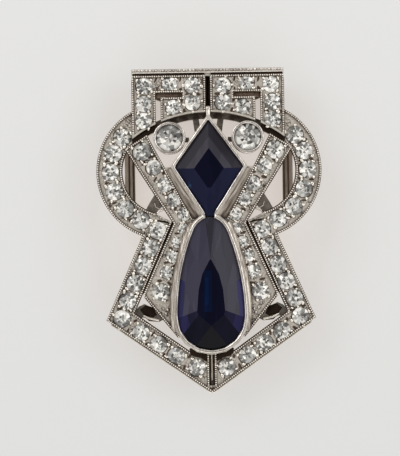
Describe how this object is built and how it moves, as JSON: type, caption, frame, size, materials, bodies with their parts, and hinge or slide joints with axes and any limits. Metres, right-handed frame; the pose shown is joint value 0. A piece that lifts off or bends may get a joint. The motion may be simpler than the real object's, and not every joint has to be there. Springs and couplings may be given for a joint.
{
  "type": "clip brooch",
  "caption": "Openwork clip brooch with a Greek-key panel, kite and pear sapphires in bezels, diamond-set ring, straps and skirt, and a spring clip behind.",
  "frame": {"origin": "on the surface that the clip's flat back lies on, under the middle of the brooch's outline", "axes": "+Y up the brooch from its apex to the Greek-key panel, +Z out of its face, +X to the right seen from the front"},
  "size_m": [0.0262, 0.0378, 0.0073],
  "materials": {
    "platinum": "satin platinum with polished rims",
    "white_gold": "satin white gold",
    "sapphire": "polished, faceted",
    "diamond": "polished, faceted"
  },
  "bodies": {
    "root": {"mount": "platinum", "clip": "white_gold", "kite_sapphire": "sapphire", "pear_sapphire": "sapphire", "round_diamond_left": "diamond", "round_diamond_right": "diamond", "fret_diamonds": "diamond", "ring_diamonds": "diamond", "strap_diamonds": "diamond", "flank_diamonds": "diamond", "skirt_diamonds": "diamond"}
  },
  "joints": []
}
